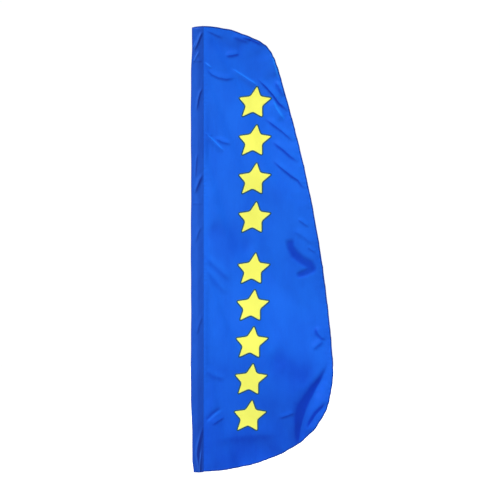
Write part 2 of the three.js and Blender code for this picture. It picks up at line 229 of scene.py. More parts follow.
def flag_outline():
    """From the fold's top round the crown, down the fly edge and along the foot, as (x, z)."""
    curves = (  # in shares of the flag's width and height
        ((0, 0.997), (0.15, 1.0095), (0.424, 0.984), (0.531, 0.956)),
        ((0.531, 0.956), (0.6, 0.934), (0.616, 0.902), (0.642, 0.873)),
        ((0.642, 0.873), (0.827, 0.674), (0.955, 0.454), (1, 0.246)),
        ((1, 0.246), (1.002, 0.169), (0.961, 0.116), (0.77, 0.066)),
        ((0.77, 0.066), (0.54, 0.016), (0.312, 0.003), (0, 0)),
    )
    shares = np.vstack([bezier(c, 60)[(i > 0):] for i, c in enumerate(curves)])
    line = shares * (FLAG_W, FLAG_H) + (FOLD_X, MOUTH_Z)
    line[:, 0] += drifted(line[:, 0], line[:, 1])
    along = run_along(line)
    off_ends = smooth((along - 0.08) / 0.1) * smooth((along[-1] - 0.08 - along) / 0.1)
    uneven = 0.0012 * uneven_sine(along, 41, 2.2, 7) + 0.0007 * uneven_sine(along, 103, 3, 13)
    return line + normals_of(line) * (uneven * off_ends)[:, None]


def normals_of(line):
    """Unit normals, to the right of the line's direction."""
    along = np.gradient(line, axis=0)
    along /= np.linalg.norm(along, axis=1)[:, None]
    return np.column_stack([along[:, 1], -along[:, 0]])


def inset(line, distance):
    return line + normals_of(line) * distance


# Creases in the panel. Each has points (x, z) or (x, z, spread), where spread widens it
# there, then the widths of the flanks that face the light and the ground, the height towards the
# front, and how much the flanks darken and lighten the cloth. A line runs to the right, or upwards.
# The flanks' darkening is painted shade and their lightening painted highlight, set by which way each
# flank faces the light.
CREASES = (
    (((0.047, 2.408), (0.083, 2.392), (0.145, 2.364)), 0.014, 0.009, 0.0035, 0.5, 0),
    (((0.15, 2.268), (0.19, 2.274, 1.5), (0.235, 2.282)), 0.014, 0.01, 0.0045, 0.75, 0),
    (((0.036, 2.232), (0.052, 2.218), (0.078, 2.196)), 0.005, 0.012, 0.0045, 0, 0.8),
    (((0.046, 2.204), (0.083, 2.164), (0.117, 2.149, 1.3), (0.16, 2.141, 1.3), (0.212, 2.15)),
     0.014, 0.009, 0.0045, 0.62, 0),
    (((0.18, 2.2, 0.8), (0.245, 2.158), (0.292, 2.128), (0.34, 2.096)), 0.007, 0.022, 0.0075, 0, 1),
    (((0.325, 2.152), (0.356, 2.121), (0.38, 2.098), (0.418, 2.055, 1.2), (0.448, 2.014, 1.7),
      (0.478, 1.988, 1.5), (0.505, 1.96)), 0.016, 0.009, 0.0065, 1.15, 0.15),
    (((0.425, 2.135), (0.452, 2.095, 1.4), (0.476, 2.045)), 0.012, 0.014, 0.005, 0.55, 0.3),
    (((0.404, 2.034, 0.8), (0.428, 1.976, 1.6), (0.454, 1.94, 1.3), (0.476, 1.908, 0.8)),
     0.01, 0.022, 0.0075, 0, 1),
    (((0.235, 2.372), (0.3, 2.358, 1.2), (0.372, 2.322)), 0.012, 0.01, 0.004, 0.75, 0),
    (((0.19, 2.378), (0.232, 2.362, 1.4), (0.29, 2.34)), 0.012, 0.011, 0.0035, 0.4, 0),
    (((0.392, 2.29), (0.406, 2.255, 1.3), (0.422, 2.2, 1.5), (0.436, 2.135)), 0.013, 0.03, 0.004, 0, 1),
    (((0.365, 1.932), (0.418, 1.893, 1.3), (0.468, 1.854), (0.535, 1.794)), 0.02, 0.01, 0.006, 0.8, 0.1),
    (((0.038, 1.846, 0.8), (0.072, 1.816), (0.106, 1.782), (0.15, 1.738)), 0.007, 0.018, 0.0065, 0, 0.85),
    (((0.04, 1.842), (0.085, 1.828)), 0.01, 0.006, 0.0025, 0.35, 0),
    (((0.095, 1.82), (0.139, 1.798, 1.4), (0.19, 1.784)), 0.012, 0.009, 0.004, 0.5, 0),
    (((0.405, 1.806), (0.468, 1.759, 1.2), (0.512, 1.72, 1.2), (0.56, 1.684)),
     0.02, 0.012, 0.006, 0.8, 0.1),
    (((0.405, 1.705), (0.462, 1.654), (0.518, 1.611, 1.3), (0.552, 1.588), (0.574, 1.556), (0.606, 1.54)),
     0.018, 0.01, 0.006, 0.9, 0.1),
    (((0.545, 1.378), (0.58, 1.355, 1.3), (0.612, 1.33)), 0.01, 0.008, 0.0035, 0.5, 0),
    (((0.52, 1.318), (0.575, 1.285, 1.3), (0.64, 1.235)), 0.018, 0.012, 0.0035, 0.2, 0),
    (((0.6, 1.225), (0.63, 1.204), (0.65, 1.19)), 0.01, 0.008, 0.003, 0.4, 0),
    (((0.65, 0.79), (0.66, 0.755, 1.6), (0.684, 0.728, 1.4), (0.71, 0.718)), 0.016, 0.012, 0.005, 0.6, 0),
    (((0.625, 0.66), (0.655, 0.688, 1.5), (0.69, 0.712)), 0.014, 0.012, 0.0045, 0.5, 0),
    (((0.557, 0.1, 0.3), (0.562, 0.182, 0.5), (0.568, 0.232, 0.6), (0.583, 0.288, 0.9),
      (0.602, 0.338, 1.1), (0.625, 0.388, 0.9), (0.652, 0.444, 0.7), (0.68, 0.494, 0.5),
      (0.708, 0.561, 0.25), (0.72, 0.6, 0.2)), 0.046, 0.056, -0.015, 1, 0),
    (((0.598, 0.222), (0.622, 0.262, 1.2), (0.652, 0.308, 1.5), (0.686, 0.344, 1.2), (0.706, 0.38)),
     0.014, 0.013, -0.006, 0.95, 0),
    (((0.44, 0.288), (0.49, 0.304), (0.54, 0.324)), 0.014, 0.01, 0.0035, 0.45, 0),
    (((0.04, 1.18), (0.11, 1.112, 1.4), (0.19, 1.036)), 0.02, 0.018, 0.004, 0.24, 0.12),
    (((0.044, 1.112), (0.1, 1.045, 1.4), (0.165, 0.958)), 0.018, 0.018, 0.0035, 0.2, 0.1),
    (((0.04, 0.56), (0.09, 0.52, 1.3), (0.16, 0.5)), 0.018, 0.016, 0.003, 0.2, 0.08),
    (((0.04, 0.262), (0.088, 0.308), (0.14, 0.345)), 0.01, 0.014, -0.0045, 0.35, 0.3),
    (((0.075, 0.25), (0.11, 0.272), (0.15, 0.296)), 0.012, 0.009, 0.0035, 0.4, 0),
    (((0.06, 0.168), (0.24, 0.196, 1.3), (0.46, 0.205)), 0.05, 0.034, 0.006, 0.18, 0),
)

# Hollows with painted shade all over: points (x, z, half width) along the middle, then the depth, how
# much painted shade, and how crisp the edges are.
PATCHES = (
    (((0.5, 1.274, 0.022), (0.51, 1.218, 0.021), (0.533, 1.182, 0.025), (0.572, 1.15, 0.024),
      (0.612, 1.126, 0.026), (0.624, 1.103, 0.025), (0.6, 1.084, 0.019), (0.56, 1.07, 0.016),
      (0.532, 1.062, 0.011)), 0.004, 0.68, 4),
    (((0.38, 0.64, 0.05), (0.52, 0.56, 0.08), (0.64, 0.48, 0.06)), 0.005, 0.34, 2),
    (((0.04, 2.33, 0.04), (0.15, 2.325, 0.05), (0.27, 2.3, 0.04)), 0.004, 0.12, 2),
    (((0.05, 1.35, 0.05), (0.2, 1.25, 0.08), (0.32, 1.215, 0.05)), 0.005, 0.28, 2),
)

LINE_OVERRUN = 0.03  # how far a crease's line goes on straight past its ends


def flat_points(points):
    return np.array([point[:2] for point in points], float)


def along_line(x, z, points):
    """Distance to the left of a line of points, and the share of its length at the nearest place."""
    points = flat_points(points)
    lengths = np.linalg.norm(np.diff(points, axis=0), axis=1)
    starts = run_along(points)
    best = np.full(x.shape, np.inf)
    share, side = np.zeros(x.shape), np.ones(x.shape)
    for i, length in enumerate(lengths):
        direction = (points[i + 1] - points[i]) / length
        dx, dz = x - points[i, 0], z - points[i, 1]
        t = dx * direction[0] + dz * direction[1]
        low = -LINE_OVERRUN if i == 0 else 0
        high = length + (LINE_OVERRUN if i + 2 == len(points) else 0)
        held = np.clip(t, low, high)
        away = np.hypot(dx - held * direction[0], dz - held * direction[1])
        closer = away < best
        best = np.where(closer, away, best)
        side = np.where(closer, np.where(direction[0] * dz > direction[1] * dx, 1, -1), side)
        share = np.where(closer, (starts[i] + held) / starts[-1], share)
    return best * side, share


def spread_along(points, share):
    """The third number of a line's points, or 1, at a share of the line's length."""
    starts = run_along(flat_points(points))
    spreads = [point[2] if len(point) > 2 else 1 for point in points]
    return np.interp(share, starts / starts[-1], spreads)


def crease_field(lines, x, z):
    """How far creases stand out towards the front, and how much painted shade and painted highlight they
    put on the cloth.
    """
    rise, dark, light = np.zeros(x.shape), np.zeros(x.shape), np.zeros(x.shape)
    for points, lit_width, dim_width, height, darker, lighter in lines:
        left, share = along_line(x, z, points)
        spread = spread_along(points, share)
        along = faded_ends(share, 3.5)
        across = left * math.copysign(1, height) / spread
        flank = np.where(across > 0, across / lit_width, -across / dim_width)
        rise += height * along * np.exp(-flank ** 2)
        slope = 2 * flank * np.exp((1 - 4 * flank ** 2) / 2)
        dark = np.maximum(dark, darker * along * np.where(across < 0, slope, 0))
        light = np.maximum(light, lighter * along * np.where(across > 0, slope, 0))
    return rise, dark, light


def creases(x, z):
    """How far the panel's creases and hollows go back, and how much painted shade and painted highlight
    they get.
    """
    rise, dark, light = crease_field(CREASES, x, z)
    depth = -rise
    for points, deep, darker, crisp in PATCHES:
        left, share = along_line(x, z, points)
        flank = np.abs(left) / spread_along(points, share)
        body = np.exp(-flank ** crisp) * faded_ends(share, crisp * 2.5)
        depth += deep * body
        dark = dark + darker * body * (1 - dark)
    return depth, dark, light


def crease_rows():
    """Points beside the creases, which let the mesh follow their flanks."""
    for points, lit_width, dim_width, height, _, _ in CREASES:
        line = spaced(flat_points(points), 0.005)
        left = -normals_of(line) * math.copysign(1, height)
        for reach in (0, lit_width * 0.5, lit_width, -dim_width * 0.5, -dim_width):
            yield line + left * reach


RIPPLE_BASE = 2.2
LOOSE_DEPTH, RUFFLE_DEPTH = 0.0028, 0.0011  # of the panel's and the sleeve's small waves
RIPPLES = [
    (rng.uniform(4, 16), rng.uniform(0, math.pi), rng.uniform(0, 2 * math.pi)) for _ in range(14)
]


def unevenness(x, z):
    """The slight looseness of thin cloth: waves of RIPPLE_BASE / rate in length, the same each time."""
    total = np.zeros(x.shape)
    for rate, turn, phase in RIPPLES:
        across = x * math.cos(turn) + z * math.sin(turn)
        total += np.sin(2 * math.pi * rate * across / RIPPLE_BASE + phase) / rate
    return total


def wave(x, z):
    """The CAD's soft wave, as a depth y."""
    away = np.maximum(0, x - SEAM_X)
    rise = WAVE_DEPTH * smooth(away / WAVE_START)
    return rise * np.sin(2 * math.pi * (z / WAVE_LENGTH + away / WAVE_SLANT))


def puckers(x, z):
    """Small gathers where the stitching draws the cloth in, along the seam and the hem."""
    to_seam = np.maximum(0, x - SEAM_X)
    free = smooth(to_seam / 0.008)
    by_seam = np.exp(-to_seam / 0.016) * uneven_sine(z, 235, 2.5, 41)
    to_hem, along_hem = outline_places(x, z)
    by_hem = np.exp(-np.maximum(0, to_hem - HEM) / 0.012) * uneven_sine(along_hem, 190, 2.0, 37)
    return free * (0.0010 * by_seam * (0.6 + 0.4 * np.sin(z * 13)) + 0.0007 * by_hem)


def outline_places(x, z):
    """How far points are from the outline, and how far along it the nearest place is."""
    found = [outline_tree.find((a, b, 0)) for a, b in zip(np.ravel(x), np.ravel(z))]
    away = np.array([f[2] for f in found]).reshape(np.shape(x))
    along = np.array([f[1] for f in found]).reshape(np.shape(x)) * OUTLINE_STEP
    return away, along


class Hanging:
    """How the cloth hangs from its seam: a cloth simulation of the panel, on a square grid."""

    STEP = 0.012
    DEEPEST = 0.010

    def __init__(self, frames=24):
        self.xs = np.arange(SEAM_X, FOLD_X + FLAG_W + self.STEP, self.STEP)
        self.zs = np.arange(MOUTH_Z - self.STEP, TOP_Z + self.STEP, self.STEP)
        x, z = np.meshgrid(self.xs, self.zs)
        self.relief = np.zeros(x.shape)
        columns = len(self.xs)
        corner = (np.arange(len(self.zs) - 1)[:, None] * columns + np.arange(columns - 1)).ravel()
        centres = np.column_stack([x.ravel()[corner], z.ravel()[corner]]) + self.STEP / 2
        corner = corner[inside(centres, outline)]
        faces = np.column_stack([corner, corner + 1, corner + columns + 1, corner + columns])
        used, faces = np.unique(faces, return_inverse=True)
        faces = faces.reshape(-1, 4)
        x, z = x.ravel()[used], z.ravel()[used]
        start = np.column_stack([x, wave(x, z) + 0.0008 * unevenness(x * 5, z * 5), z])
        cloth_grid = mesh_object("hanging_grid", start, faces.tolist())
        self.pin(cloth_grid, x, z)
        settled = self.simulated(cloth_grid, frames)
        bpy.data.objects.remove(cloth_grid)
        known = np.zeros(self.relief.size, bool)
        known[used] = True
        relief = np.zeros(self.relief.size)
        relief[used] = settled[:, 1] - wave(x, z)
        self.relief = self.evened(relief.reshape(self.relief.shape), known.reshape(self.relief.shape))

    def pin(self, cloth_grid, x, z):
        """The seam holds the cloth fast, and the stiff hem holds it a little."""
        fast = cloth_grid.vertex_groups.new(name="held")
        by_hem = outline_places(x, z)[0] < self.STEP * 1.2
        for i in range(len(x)):
            weight = 1.0 if x[i] < SEAM_X + self.STEP / 2 else 0.1 * by_hem[i]
            if weight:
                fast.add([i], float(weight), "REPLACE")

    @staticmethod
    def simulated(cloth_grid, frames):
        """Where the cloth's points are after the last frame."""
        modifier = cloth_grid.modifiers.new("hanging", "CLOTH")
        settings = modifier.settings
        settings.quality = 6
        settings.mass = 0.02
        settings.tension_stiffness = settings.compression_stiffness = 15
        settings.shear_stiffness = 5
        settings.bending_stiffness = 0.5
        settings.shrink_min = -0.004
        settings.vertex_group_mass = "held"
        settings.effector_weights.gravity = 0.3
        modifier.collision_settings.use_collision = False
        modifier.point_cache.frame_start, modifier.point_cache.frame_end = 1, frames
        for number in range(1, frames + 1):
            bpy.context.scene.frame_set(number)
        depsgraph = bpy.context.evaluated_depsgraph_get()
        mesh = cloth_grid.evaluated_get(depsgraph).to_mesh()
        places = np.zeros(len(mesh.vertices) * 3)
        mesh.vertices.foreach_get("co", places)
        bpy.context.scene.frame_set(1)
        return places.reshape(-1, 3)

    def evened(self, relief, known):
        """The relief carried past the cloth's edge, smoothed and kept shallow."""
        weight = known.astype(float)
        relief = relief * weight
        shifts = [(a, b) for a in (-1, 0, 1) for b in (-1, 0, 1)]
        for _ in range(6):
            total = sum(np.roll(relief * weight, shift, (0, 1)) for shift in shifts)
            share = sum(np.roll(weight, shift, (0, 1)) for shift in shifts)
            fresh = (weight == 0) & (share > 0)
            relief[fresh] = total[fresh] / share[fresh]
            weight[fresh] = 1
        for _ in range(2):
            padded = np.pad(relief, 1, mode="edge")
            sides = padded[:-2, 1:-1] + padded[2:, 1:-1] + padded[1:-1, :-2] + padded[1:-1, 2:]
            corners = padded[:-2, :-2] + padded[:-2, 2:] + padded[2:, :-2] + padded[2:, 2:]
            relief = (4 * relief + 2 * sides + corners) / 16
        return self.DEEPEST * np.tanh(relief / self.DEEPEST)

    def at(self, x, z):
        """The relief between grid points, on smooth cubic curves."""
        u = np.clip((x - self.xs[0]) / self.STEP, 1, len(self.xs) - 2.001)
        v = np.clip((z - self.zs[0]) / self.STEP, 1, len(self.zs) - 2.001)
        column, row = u.astype(int), v.astype(int)
        across, up = cubic_weights(u - column), cubic_weights(v - row)
        total = np.zeros(np.shape(x))
        for i in range(4):
            for j in range(4):
                rows = np.clip(row + i - 1, 0, len(self.zs) - 1)
                columns = np.clip(column + j - 1, 0, len(self.xs) - 1)
                total += up[i] * across[j] * self.relief[rows, columns]
        return total


def cubic_weights(t):
    return (
        (-t + 2 * t ** 2 - t ** 3) / 2,
        (2 - 5 * t ** 2 + 3 * t ** 3) / 2,
        (t + 4 * t ** 2 - 3 * t ** 3) / 2,
        (-t ** 2 + t ** 3) / 2,
    )


def surface(x, z):
    """The depth y of the panel's middle."""
    x, z = np.asarray(x, float), np.asarray(z, float)
    away = np.maximum(0, x - SEAM_X)
    fine = creases(x, z)[0] + LOOSE_DEPTH * unevenness(x, z) + hanging.at(x, z)
    return wave(x, z) + fine * smooth(away / 0.03) + puckers(x, z)


# ---- mesh helpers ----

def mesh_object(name, points, faces, flat_faces=()):
    """A smooth-shaded object. flat_faces are shaded flat, which keeps the edges round them crisp."""
    mesh = bpy.data.meshes.new(name)
    mesh.from_pydata(np.asarray(points).tolist(), [], [*faces, *flat_faces])
    smooth_flags = [True] * len(faces) + [False] * len(flat_faces)
    mesh.polygons.foreach_set("use_smooth", smooth_flags)
    mesh.update()
    return add_object(name, mesh)


def point_attribute(piece, name, values):
    attribute = piece.data.attributes.new(name, "FLOAT", "POINT")
    attribute.data.foreach_set("value", np.asarray(values, np.float32))


def flat_uv(piece, us, vs):
    """A UV map from two numbers per point."""
    corners = np.zeros(len(piece.data.loops), int)
    piece.data.loops.foreach_get("vertex_index", corners)
    layer = piece.data.uv_layers.new(name="UVMap")
    layer.data.foreach_set("uv", np.column_stack([us, vs])[corners].astype(np.float32).ravel())


def inside(points, loop):
    """Which points lie inside a closed loop."""
    x, z = points.T
    found = np.zeros(len(points), bool)
    for (ax, az), (bx, bz) in zip(loop, np.roll(loop, -1, axis=0)):
        crosses = (az > z) != (bz > z)
        if crosses.any():
            reach = ax + (z - az) / (bz - az + 1e-15) * (bx - ax)
            found ^= crosses & (x < reach)
    return found


def clear_of(points, others, gap):
    """The points that are further than gap from the others."""
    for start in range(0, len(others), 200):
        part = others[start:start + 200]
        box = (points > part.min(0) - gap).all(1) & (points < part.max(0) + gap).all(1)
        near = np.where(box)[0]
        gaps = np.linalg.norm(points[near, None] - part[None], axis=2).min(1)
        points = np.delete(points, near[gaps < gap], axis=0)
    return points


def spread_points(loops, pitch, rows=()):
    """A staggered grid in the first loop with finer rows in it, clear of every loop's line."""
    low, high = loops[0].min(0), loops[0].max(0)
    grid = []
    for i, z in enumerate(np.arange(low[1] + pitch / 2, high[1], pitch * math.sqrt(3) / 2)):
        xs = np.arange(low[0] + pitch * (0.25 + 0.5 * (i % 2)), high[0], pitch)
        grid.append(np.column_stack([xs, np.full(len(xs), z)]))
    kept = np.zeros((0, 2))
    for row in rows:
        row = clear_of(row[inside(row, loops[0])], kept, pitch * 0.4)
        kept = np.vstack([kept, row])
    for loop in loops:
        kept = clear_of(kept, loop, pitch * 0.5)
    grid = np.vstack(grid)
    grid = grid[inside(grid, loops[0])]
    for other in (*loops, kept):
        grid = clear_of(grid, other, pitch * 0.62)
    return np.vstack([kept, grid])


def triangulated(loops, pitch, rows=()):
    """Points and triangles that fill the first loop. The other loops' lines are kept in it."""
    points, edges = [], []
    for loop in loops:
        first = sum(len(p) for p in points)
        edges += [(first + i, first + (i + 1) % len(loop)) for i in range(len(loop))]
        points.append(loop)
    points.append(spread_points(loops, pitch, rows))
    flat = [Vector(p) for p in np.vstack(points)]
    made = delaunay_2d_cdt(flat, edges, [], 1, 1e-7, False)
    return np.array([tuple(p) for p in made[0]]), np.array([tuple(f) for f in made[2]])


def at_depth(flat, depth):
    """Points (x, z) at depths y."""
    return np.column_stack([flat[:, 0], depth, flat[:, 1]])


def closed_sheet(name, flat, triangles, near, far):
    """A thin closed body whose two faces are at depths near and far."""
    count = len(flat)
    points = np.vstack([at_depth(flat, near), at_depth(flat, far)])
    back = triangles[:, [0, 2, 1]] + count
    edges = np.vstack([triangles[:, [0, 1]], triangles[:, [1, 2]], triangles[:, [2, 0]]])
    _, first, uses = np.unique(np.sort(edges, axis=1), axis=0, return_index=True, return_counts=True)
    rim = edges[first[uses == 1]]
    walls = np.column_stack([rim[:, 0], rim[:, 0] + count, rim[:, 1] + count, rim[:, 1]])
    return mesh_object(name, points, [*triangles.tolist(), *back.tolist()], walls.tolist())


def only_used(flat, triangles):
    used, renumbered = np.unique(triangles, return_inverse=True)
    return flat[used], renumbered.reshape(triangles.shape)


def skin(rings, capped=False):
    """Quads that join closed rings of equal point counts, which run anticlockwise seen from above."""
    rings = np.asarray(rings)
    levels, count = rings.shape[:2]
    faces = []
    for level in range(levels - 1):
        for i in range(count):
            a, b = level * count + i, level * count + (i + 1) % count
            faces.append((a, b, b + count, a + count))
    ends = []
    if capped:
        last = (levels - 1) * count
        ends = [tuple(reversed(range(count))), tuple(range(last, last + count))]
    return rings.reshape(-1, 3), faces, ends


OUTLINE_STEP = 0.0055
outline = spaced(flag_outline(), OUTLINE_STEP)
outline_tree = KDTree(len(outline))
for i, (x, z) in enumerate(outline):
    outline_tree.insert((x, z, 0), i)
outline_tree.balance()
hanging = Hanging()


# ---- the panel and its stars ----

def painted_end_shade(z, foot, crown):
    """Painted shade: the cloth's colour made deeper towards its ends, at the foot and at the crown."""
    return foot * smooth((0.85 - z) / 0.85) + crown * smooth((z - 1.95) / 0.45)


def star_centres():
    for group in STAR_GROUPS:
        for i in range(group["count"]):
            across = group["across"] + group["drift"] * i
            up = group["up"] - group["pitch"] * i
            yield FOLD_X + across * FLAG_W, MOUTH_Z + up * FLAG_H


def star_loop(centre):
    corners = []
    for i in range(10):
        angle = math.pi / 2 + i * math.pi / 5
        radius = STAR_R * (STAR_WAIST if i % 2 else 1)
        rise = radius * math.sin(angle)
        corners.append((centre[0] + radius * math.cos(angle) + STAR_LEAN * rise, centre[1] + rise))
    corners = np.array(corners)
    loop = []
    for i, corner in enumerate(corners):
        ends = []
        for other in (corners[i - 1], corners[(i + 1) % 10]):
            towards = other - corner
            reach = WAIST_ROUND if i % 2 else TIP_ROUND
            ends.append(corner + towards / np.linalg.norm(towards) * reach)
        t = np.linspace(0, 1, 9)[:, None]
        loop.append((1 - t) ** 2 * ends[0] + 2 * t * (1 - t) * corner + t * t * ends[1])
    return spaced(np.vstack(loop), 0.0045, closed=True)


star_loops = [star_loop(centre) for centre in star_centres()]


def panel_loop():
    """The panel's cut edge, under the hem's fold and in the sleeve's seam."""
    edge = inset(outline, CUT_INSET)
    edge = edge[edge[:, 0] > SEAM_X]
    left = np.column_stack([np.full(2, SEAM_X - SEAM_TUCK), (edge[-1, 1], edge[0, 1])])
    return spaced(np.vstack([edge, left]), GRID, closed=True)


panel_flat, panel_triangles = triangulated([panel_loop(), *star_loops], GRID, crease_rows())
panel_depth = surface(*panel_flat.T)
panel = closed_sheet(
    "panel", panel_flat, panel_triangles, panel_depth - CLOTH_T / 2, panel_depth + CLOTH_T / 2
)
_, panel_shade, panel_light = creases(*panel_flat.T)
# Painted shade towards the panel's foot and crown, added to the creases' painted shade.
panel_shade = panel_shade + painted_end_shade(panel_flat[:, 1], foot=0.47, crown=0.10)
point_attribute(panel, "fold_shade", np.tile(panel_shade, 2))
point_attribute(panel, "fold_light", np.tile(panel_light, 2))
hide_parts("main_panel")

STAR_RISE = 0.0007  # how far a star's faces stand off the panel's middle
centroids = panel_flat[panel_triangles].mean(1)
stars = []
for number, loop in enumerate(star_loops, 1):
    own = inside(centroids, loop)
    flat, triangles = only_used(panel_flat, panel_triangles[own])
    depth = surface(*flat.T)
    faces = depth - STAR_RISE, depth + STAR_RISE
    star = closed_sheet(f"star_{number}_cloth", flat, triangles, *faces)
    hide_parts(f"star_{number}")
    stars.append(star)


# ---- strips that follow a line on the cloth ----

def strip(name, line, section, closed=False, uneven=0.0):
    """A strip along a line of (x, z). Section is a closed ring of (sideways, towards the front)."""
    sides = normals_of(np.vstack([line[-1:], line, line[:1]]))[1:-1] if closed else normals_of(line)
    lengths = run_along(line)
    wobble = uneven * unevenness(line[:, 0] * 9, line[:, 1] * 9)
    rings = []
    for sideways, forwards in section:
        flat = line + sides * (sideways + wobble)[:, None]
        rings.append(at_depth(flat, surface(*flat.T) - forwards))
    rings = np.stack(rings, axis=1)
    count = len(section)
    if closed:
        rings = np.concatenate([rings, rings[:1]])
        lengths = np.append(lengths, lengths[-1] + np.linalg.norm(line[0] - line[-1]))
    points, faces, ends = skin(rings, capped=not closed)
    made = mesh_object(name, points, faces, ends)
    flat_uv(made, np.repeat(lengths, count), np.tile(np.arange(count) / count, len(rings)))
    return made


def two_faced(front):
    """A closed section from its front half, the same on the back."""
    return [*front, *((sideways, -forwards) for sideways, forwards in front[::-1] if forwards)]


hem_section = two_faced([
    (0.0002, 0), (0.0006, 0.0007), (0.0020, 0.0010), (0.0045, 0.0010), (0.0064, 0.0009), (HEM, 0.0005),
])
under_sleeve = (outline[:, 1] < FLAG_H / 2) & (outline[:, 0] < SEAM_X - SEAM_TUCK)
hem_line = outline[~under_sleeve]
hem = strip("edge_hem_fold", hem_line, hem_section, uneven=0.0006)
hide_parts("edge_hem")

border_section = two_faced([
    (-0.0060, 0.0004), (-0.0044, 0.0013), (-0.0020, 0.0016), (0.0006, 0.0013), (0.0020, 0.0004),
])
borders = [
    strip(f"star_{number}_border", loop, border_section, closed=True)
    for number, loop in enumerate(star_loops, 1)
]


# ---- the sleeve ----

crown_line = inset(outline[outline[:, 1] > FLAG_H / 2], CUT_INSET)


def stand_off(z):
    """How far the hollow stands off the middle plane over the pole, with a flare at the mouth."""
    up = np.clip((z - REDUCER_TOP) / (TOP_Z - REDUCER_TOP), 0, 1)
    flare = 0.0013 * np.clip(1 - (z - MOUTH_Z) / 0.060, 0, 1)
    reach = POLE_REACH + (CAP_REACH - POLE_REACH) * up + flare
    return reach * (1 - smooth((z - CAP_TOP - 0.002) / (TOP_Z - HEM - CAP_TOP - 0.002)))


def tent(share):
    """The hollow's shape across the sleeve: two straight sides and a rounded ridge."""
    ridge = 0.2
    return (math.hypot(1, ridge) - np.hypot(share, ridge)) / (math.hypot(1, ridge) - ridge)


# Slack folds of the sleeve, written as the panel's creases are.
# The sleeve's crease flanks are darkened as painted shade and lightened as painted highlight, as on the
# panel.
SLEEVE_CREASES = (
    (((-0.026, 2.284), (-0.002, 2.33), (0.012, 2.365, 1.2), (0.03, 2.405)),
     0.01, 0.008, 0.005, 0.95, 0.5),
    (((-0.034, 2.3), (-0.018, 2.322), (-0.006, 2.352)), 0.006, 0.006, 0.003, 0.4, 0.7),
    (((-0.022, 2.228), (-0.006, 2.262), (0.012, 2.292)), 0.007, 0.008, 0.003, 0.2, 0.7),
    (((-0.006, 1.955), (0.004, 2.025, 1.2), (0.014, 2.062), (0.031, 2.1)),
     0.009, 0.007, 0.0042, 0.8, 0.3),
    (((-0.012, 1.59), (-0.01, 1.65), (-0.002, 1.74)), 0.008, 0.008, 0.0036, 0.65, 0.2),
    (((-0.014, 1.505), (-0.006, 1.545, 1.3), (0.01, 1.585, 1.5), (0.029, 1.625)),
     0.009, 0.009, 0.0042, 0.85, 0.2),
    (((-0.032, 2.236), (0, 2.238), (0.032, 2.236)), 0.005, 0.004, 0.0018, 0.6, 0),
    (((-0.032, 1.456), (0.03, 1.459)), 0.005, 0.004, 0.0014, 0.35, 0),
    (((0.016, -0.06), (0.006, 0.036), (-0.005, 0.09, 1.2), (0, 0.132, 1.3), (0.012, 0.176, 1.1),
      (0.032, 0.25)), 0.01, 0.01, 0.005, 1.1, 0.3),
    (((0.01, -0.06), (0.018, 0.06), (0.026, 0.13)), 0.006, 0.005, 0.0025, 0.4, 0.6),
    (((-0.012, 1.24), (0.002, 1.29), (0.02, 1.335)), 0.01, 0.007, 0.003, 0.35, 0),
    (((-0.006, 0.74), (0.01, 0.8), (0.028, 0.85)), 0.011, 0.008, 0.003, 0.3, 0),
)


BACK_CREASE, BACK_SHADE = 0.4, 0.5  # the creases' depth and darkness on the back


def sleeve_relief(x, z, side, share, tops):
    """How far the sleeve's slack wall stands out, and how much painted shade and painted highlight it
    gets.
    """
    crease, shade, light = crease_field(SLEEVE_CREASES, x, z)
    front = side < 0
    ruffles = RUFFLE_DEPTH * np.maximum(0, unevenness(x * 14 + 3 * side, z * 5))
    slack = smooth((1 - np.abs(share)) * 5) * smooth((tops - 0.008 - z) / 0.02)
    relief = slack * (ruffles + crease * np.where(front, 1, BACK_CREASE))
    return relief, shade * np.where(front, 1, BACK_SHADE), light * np.where(front, 1, 0)


def sleeve_top(x):
    """The height where the sleeve's end goes under the crown's hem."""
    order = np.argsort(crown_line[:, 0])
    return np.interp(x, crown_line[order, 0], crown_line[order, 1])


def sleeve_ring(steps):
    """One turn round the sleeve, anticlockwise from above, as (share across, side)."""
    share = -np.cos(np.linspace(0, math.pi, steps))
    share = 0.55 * share + 0.45 * np.linspace(-1, 1, steps)
    return np.concatenate([share, -share]), np.concatenate([-np.ones(steps), np.ones(steps)])


def sleeve_points(half_width, base, levels, steps, low, shy=0.0, wrinkled=True, high=None):
    """Rings up the sleeve, shy metres inside its hollow's shape, with their painted shade and painted
    highlight.
    """
    share, side = sleeve_ring(steps)
    rings, shades, lights = [], [], []
    for level in levels:
        x = half_width * share
        tops = sleeve_top(x) if high is None else np.full(x.shape, high)
        z = low + level * (tops - low)
        open_by = np.maximum(stand_off(z) - shy, 0) * tent(share)
        relief, shade, light = sleeve_relief(x, z, side, share, tops)
        if wrinkled:
            open_by = open_by + relief
        x = x + drifted(x, z)
        rings.append(np.column_stack([x, side * (base + open_by), z]))
        shades.append(shade)
        lights.append(light)
    return np.array(rings), np.ravel(shades), np.ravel(lights)


